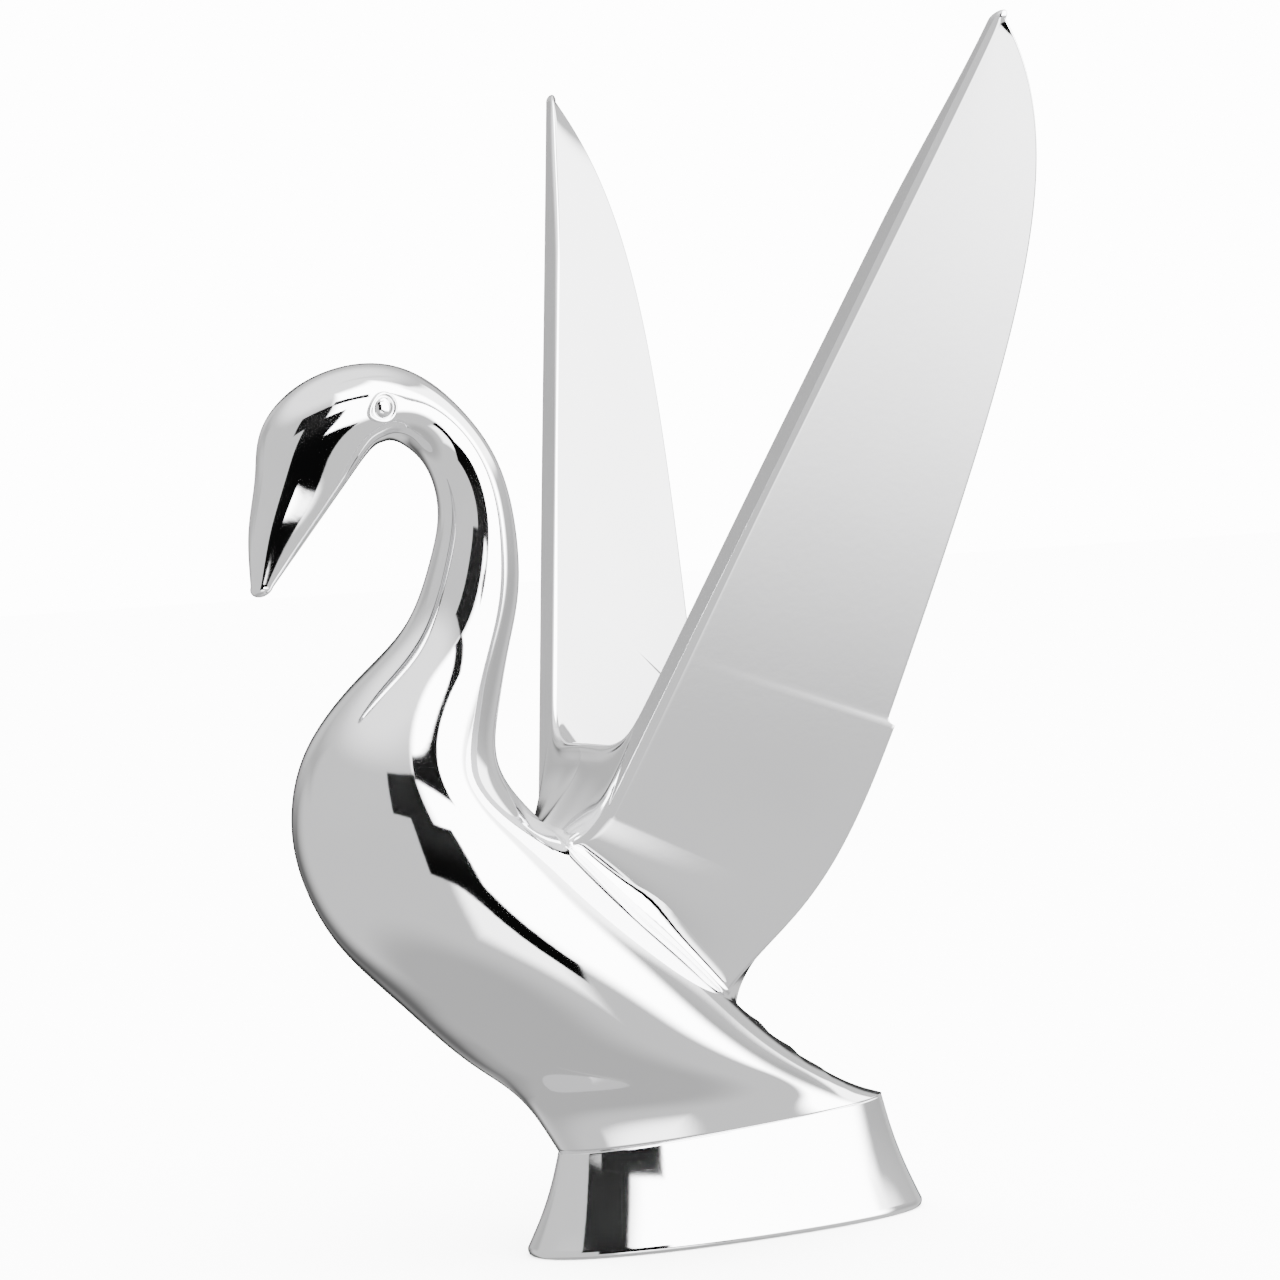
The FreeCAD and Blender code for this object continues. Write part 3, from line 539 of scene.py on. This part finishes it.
def wing_rings():
    half = wing_half()
    rows = [round_loop(c) for c in half]
    # web between the wings: its front is hollow
    front = slice(SIDE_POINTS[0] + SIDE_POINTS[1] + SIDE_POINTS[2] + 3 * CORNER_POINTS, None)
    for i in range(ROOT_ROWS):
        hollow = 3.2 * (1 - smooth_step(i / (ROOT_ROWS - 1.0)))
        share = np.linspace(0, 1, len(rows[i][front]))
        rows[i][front, 1] += hollow * np.sin(math.pi * share)
        rows[i][front, 2] -= hollow * np.sin(math.pi * share) * 0.9
    tip = rows[-1]
    centre = tip.mean(0)
    lift = leading(TIP_Z) - leading(TIP_Z - 1.0)
    cap = [centre + (tip - centre) * math.cos(a) + lift * 1.3 * math.sin(a)
           for a in np.linspace(0, math.pi / 2, 8, endpoint=False)[1:]]
    left = np.array(rows + cap)
    right = left[:0:-1].copy()
    right[..., 0] *= -1
    return np.concatenate([right, left])


wing_points, wing_faces = tube(wing_rings())
wings = make_mesh("wing_casting", wing_points, wing_faces, CHROME)
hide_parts("wing_pair")

# ---------------------------------------------------------------- fillet where the wings grow out of the back
ROOT_MIDDLE = np.array([0.0, -12.0, 51.4])
BACK_NORMAL = np.array([0.0, 1.0, 1.0]) / math.sqrt(2)
BACK_ALONG = np.array([0.0, 1.0, -1.0]) / math.sqrt(2)
FILLET_COLUMNS = 480
FILLET_POINTS = 25
FILLET_SIDE, FILLET_FRONT, FILLET_REAR, SUNK = 6.0, 2.2, 2.6, 0.012


def nearest(tree, point):
    place, normal, _, _ = tree.find_nearest(Vector(point) * MM)
    return np.array(place) / MM, np.array(normal)


def on_back(tree, point):
    """The body's surface under a point, looking square onto the back."""
    place, normal, _, _ = tree.ray_cast(Vector(point + BACK_NORMAL * 60) * MM, Vector(-BACK_NORMAL))
    return np.array(place) / MM, np.array(normal)


def inside(tree, point):
    place, normal = nearest(tree, point)
    return np.dot(point - place, normal) < 0


def ease_ring(ring, reach):
    """Smooths values round a closed ring."""
    weight = np.hanning(2 * reach + 3)[1:-1]
    weight /= weight.sum()
    count = len(ring)
    around = np.take(ring, range(-reach, count + reach), axis=0, mode="wrap")
    return sum(w * around[i:i + count] for i, w in enumerate(weight))


def unit(vectors):
    return vectors / np.linalg.norm(vectors, axis=-1, keepdims=True)


def fillet_rings():
    body_tree, wing_tree = surface_tree(swan), surface_tree(wings)
    feet, body_normals, wing_normals = [], [], []
    for angle in np.linspace(0, 2 * math.pi, FILLET_COLUMNS, endpoint=False):
        way = math.cos(angle) * np.array([1.0, 0, 0]) + math.sin(angle) * BACK_ALONG
        near, far = 0.5, 34.0
        for reach in np.arange(1.0, 34.0, 0.5):
            if not inside(wing_tree, on_back(body_tree, ROOT_MIDDLE + way * reach)[0]):
                far = reach
                break
            near = reach
        for _ in range(14):
            middle = (near + far) / 2
            if inside(wing_tree, on_back(body_tree, ROOT_MIDDLE + way * middle)[0]):
                near = middle
            else:
                far = middle
        foot, normal = on_back(body_tree, ROOT_MIDDLE + way * near)
        feet.append(foot)
        body_normals.append(normal)
        wing_normals.append(nearest(wing_tree, foot)[1])
    feet = ease_ring(np.array(feet), 3)
    body_normals = unit(ease_ring(np.array(body_normals), 5))
    wing_normals = unit(ease_ring(np.array(wing_normals), 7))
    turn = np.linspace(0, 2 * math.pi, FILLET_COLUMNS, endpoint=False)
    front, rear = np.clip(-np.sin(turn), 0, 1) ** 2, np.clip(np.sin(turn), 0, 1) ** 2
    radius = FILLET_SIDE + (FILLET_FRONT - FILLET_SIDE) * front + (FILLET_REAR - FILLET_SIDE) * rear
    both = np.sum(body_normals * wing_normals, 1)
    centre = feet + (radius / (1 + np.clip(both, -0.5, 1)))[:, None] * (body_normals + wing_normals)
    top = np.array([nearest(wing_tree, c - r * n)[0] for c, r, n in zip(centre, radius, wing_normals)])
    low = np.array([nearest(body_tree, c - r * n)[0] for c, r, n in zip(centre, radius, body_normals)])
    top, low = ease_ring(top, 4), ease_ring(low, 4)
    top -= wing_normals * SUNK
    low -= body_normals * SUNK
    controls = [top, (top + feet) / 2, top * 0.15 + feet * 0.85,
                low * 0.15 + feet * 0.85, (low + feet) / 2, low]
    rows = []
    for s in np.linspace(0, 1, FILLET_POINTS):
        shares = [math.comb(5, i) * s ** i * (1 - s) ** (5 - i) for i in range(6)]
        rows.append(sum(w * c for w, c in zip(shares, controls)))
    rows.append(feet - unit(body_normals + wing_normals) * 1.2)
    return np.array(rows).transpose(1, 0, 2)


def ring_faces(rows, columns):
    """Quads of a tube closed both ways."""
    faces = []
    for i in range(rows):
        a, b = i * columns, (i + 1) % rows * columns
        for j in range(columns):
            k = (j + 1) % columns
            faces.append((a + j, a + k, b + k, b + j))
    return faces


fillet = fillet_rings()
root_fillet = make_mesh("wing_root_fillet", fillet.reshape(-1, 3), ring_faces(*fillet.shape[:2]), CHROME)
sharpen(root_fillet, 60)

# ---------------------------------------------------------------- pedestal
foot_low, foot_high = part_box("pedestal")
FOOT_FRONT, FOOT_REAR = foot_low.y / MM, foot_high.y / MM
FOOT_SIDE = foot_high.x / MM
FOOT_CENTRE = (FOOT_FRONT + FOOT_REAR) / 2
FOOT_LENGTH = (FOOT_REAR - FOOT_FRONT) / 2
DECK = (2.9, 28.3, 8.3)
DECK_HEIGHT, DECK_SLOPE = 16.5, 0.048


def pedestal_rings():
    turn = np.linspace(0, 2 * math.pi, 192, endpoint=False)

    def ring(centre, length, width, square, height, slope):
        power = 2 / square
        y = centre + length * np.sign(np.sin(turn)) * np.abs(np.sin(turn)) ** power
        x = width * np.sign(np.cos(turn)) * np.abs(np.cos(turn)) ** power
        return np.stack([x, y, height + slope * y], -1)

    rows = []
    for inset, height in ((3.0, 0.0), (2.2, 0.0), (0.9, 0.0), (0.45, 0.06), (0.15, 0.25), (0.0, 0.7),
                          (0.0, 1.1)):
        rows.append(ring(FOOT_CENTRE, FOOT_LENGTH - inset, FOOT_SIDE - inset, 2.25, height, 0))
    for share in np.linspace(0, 1, 40)[1:]:
        flare = 1 - share - 0.10 * math.sin(math.pi * share)
        rows.append(ring(DECK[0] + (FOOT_CENTRE - DECK[0]) * flare, DECK[1] + (FOOT_LENGTH - DECK[1]) * flare,
                         DECK[2] + (FOOT_SIDE - DECK[2]) * flare, 2.15 + 0.1 * flare,
                         1.1 + (DECK_HEIGHT - 1.5) * share, DECK_SLOPE * share))
    for inset, lift in ((0.05, 0.2), (0.2, 0.33), (0.5, 0.4), (1.2, 0.4), (2.5, 0.4)):
        rows.append(ring(DECK[0], DECK[1] - inset, DECK[2] - inset, 2.15, DECK_HEIGHT - 0.4 + lift,
                         DECK_SLOPE))
    return np.array(rows)


pedestal_points, pedestal_faces = tube(pedestal_rings())
pedestal = make_mesh("pedestal_shell", pedestal_points, pedestal_faces, CHROME)
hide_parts("pedestal")

# ---------------------------------------------------------------- camera, floor and light
TARGET = Vector((0, 0, 89)) * MM
AZIMUTH, ELEVATION, ROLL = (math.radians(a) for a in (60.0, 2.65, 2.83))
DISTANCE = 691.6 * MM


def make_camera():
    back = Vector((math.sin(AZIMUTH) * math.cos(ELEVATION), -math.cos(AZIMUTH) * math.cos(ELEVATION),
                   math.sin(ELEVATION)))
    right = Vector((math.cos(AZIMUTH), math.sin(AZIMUTH), 0))
    up = back.cross(right)
    side = math.cos(ROLL) * right - math.sin(ROLL) * up
    top = math.sin(ROLL) * right + math.cos(ROLL) * up
    data = bpy.data.cameras.new("camera")
    data.sensor_width = 36.0
    data.lens = 128.2
    data.shift_x = -0.0335
    data.shift_y = 0.0076
    camera = bpy.data.objects.new("camera", data)
    camera.matrix_world = Matrix((side, top, back)).transposed().to_4x4()
    camera.location = TARGET + back * DISTANCE
    bpy.context.scene.collection.objects.link(camera)
    bpy.context.scene.camera = camera


make_camera()


def make_floor():
    size = 3.0
    data = bpy.data.meshes.new("floor")
    corners = [(-size, -size, 0), (size, -size, 0), (size, size, 0), (-size, size, 0)]
    data.from_pydata(corners, [], [(0, 1, 2, 3)])
    material = bpy.data.materials.new("floor_paper")
    material.use_nodes = True
    shader = material.node_tree.nodes["Principled BSDF"]
    shader.inputs["Base Color"].default_value = (0.97, 0.97, 0.97, 1)
    shader.inputs["Roughness"].default_value = 0.9
    data.materials.append(material)
    floor = bpy.data.objects.new("floor", data)
    bpy.context.scene.collection.objects.link(floor)
    floor.visible_glossy = False


make_floor()


# ---------------------------------------------------------------- studio
# Every card is a patch of the studio's walls: azimuth and elevation of its middle, half its sizes, its tilt,
# the softness of its edge (all in degrees) and how bright it is.
WHITE, PALE, GREY, DIM, BLACK = 14.0, 2.2, 0.95, 0.15, 0.004
CARDS = [
    ("floor_side", 0, -90, 180, 36, 0, 10, 0.6),
    ("rear_shade", -88, -26, 16, 30, 0, 16, DIM),
    ("ceiling", 0, 90, 180, 42, 0, 14, PALE),
    ("facet_wall", -64, 20, 12, 9, 0, 8, 0.62),
    ("white_wall", 122, 22, 33, 40, 0, 6, WHITE),
    ("low_wall", 98, -28, 16, 10, 0, 5, 5.0),
    ("far_wall", 171, 25, 18, 10, 0, 3, 6.0),
    ("rear_fade", 176, -4, 18, 12, 0, 12, 0.6),
    ("backdrop", -120, 0, 24, 26, 0, 6, 0.05),
    ("flag_low", 70, 26.5, 17, 11.5, 0, 0.8, BLACK),
    ("flag_post", 84, -3, 16, 19, 0, 0.8, BLACK),
    ("flag_foot", 102, -19.5, 17, 5.0, -17, 0.8, BLACK),
    ("flag_top", 104, 37, 17, 4.0, -9, 0.8, BLACK),
]
FLOOR_LIGHT = 14.0


def make_world():
    """A pale studio with one broad white wall and black flags, which only the chrome's reflections see."""
    world = bpy.data.worlds.new("studio")
    bpy.context.scene.world = world
    world.use_nodes = True
    tree = world.node_tree
    nodes, links = tree.nodes, tree.links

    def math_node(operation, *values):
        node = nodes.new("ShaderNodeMath")
        node.operation = operation
        for socket, value in zip(node.inputs, values):
            if isinstance(value, (int, float)):
                socket.default_value = value
            else:
                links.new(value, socket)
        return node.outputs[0]

    place = nodes.new("ShaderNodeTexCoord")
    split = nodes.new("ShaderNodeSeparateXYZ")
    links.new(place.outputs["Generated"], split.inputs["Vector"])
    x, y, z = split.outputs
    azimuth = math_node("ARCTAN2", x, math_node("MULTIPLY", y, -1.0))
    elevation = math_node("ARCSINE", z)
    light = math_node("ADD", GREY, 0.0)
    for _, middle, height, half_wide, half_high, tilt, soft, bright in CARDS:
        away = math_node("WRAP", math_node("SUBTRACT", azimuth, math.radians(middle)), math.pi, -math.pi)
        above = math_node("SUBTRACT", elevation, math.radians(height))
        c, s = math.cos(math.radians(tilt)), math.sin(math.radians(tilt))
        along = math_node("ADD", math_node("MULTIPLY", away, c), math_node("MULTIPLY", above, s))
        across = math_node("SUBTRACT", math_node("MULTIPLY", above, c), math_node("MULTIPLY", away, s))
        outside = math_node("MAXIMUM",
                            math_node("SUBTRACT", math_node("ABSOLUTE", along), math.radians(half_wide)),
                            math_node("SUBTRACT", math_node("ABSOLUTE", across), math.radians(half_high)))
        edge = nodes.new("ShaderNodeMapRange")
        edge.interpolation_type = "SMOOTHSTEP"
        edge.inputs["From Min"].default_value = -math.radians(soft)
        edge.inputs["From Max"].default_value = math.radians(soft)
        edge.inputs["To Min"].default_value = 1.0
        edge.inputs["To Max"].default_value = 0.0
        links.new(outside, edge.inputs["Value"])
        kept = math_node("SUBTRACT", 1.0, edge.outputs["Result"])
        light = math_node("ADD", math_node("MULTIPLY", light, kept),
                          math_node("MULTIPLY", edge.outputs["Result"], bright))
    rays = nodes.new("ShaderNodeLightPath")
    seen = math_node("MULTIPLY", rays.outputs["Is Camera Ray"], WHITE - FLOOR_LIGHT)
    plain = math_node("ADD", FLOOR_LIGHT, seen)
    gloss = rays.outputs["Is Glossy Ray"]
    strength = math_node("ADD", math_node("MULTIPLY", light, gloss),
                         math_node("MULTIPLY", plain, math_node("SUBTRACT", 1.0, gloss)))
    links.new(strength, nodes["Background"].inputs["Strength"])
    nodes["Background"].inputs["Color"].default_value = (1.0, 1.0, 1.0, 1)


make_world()
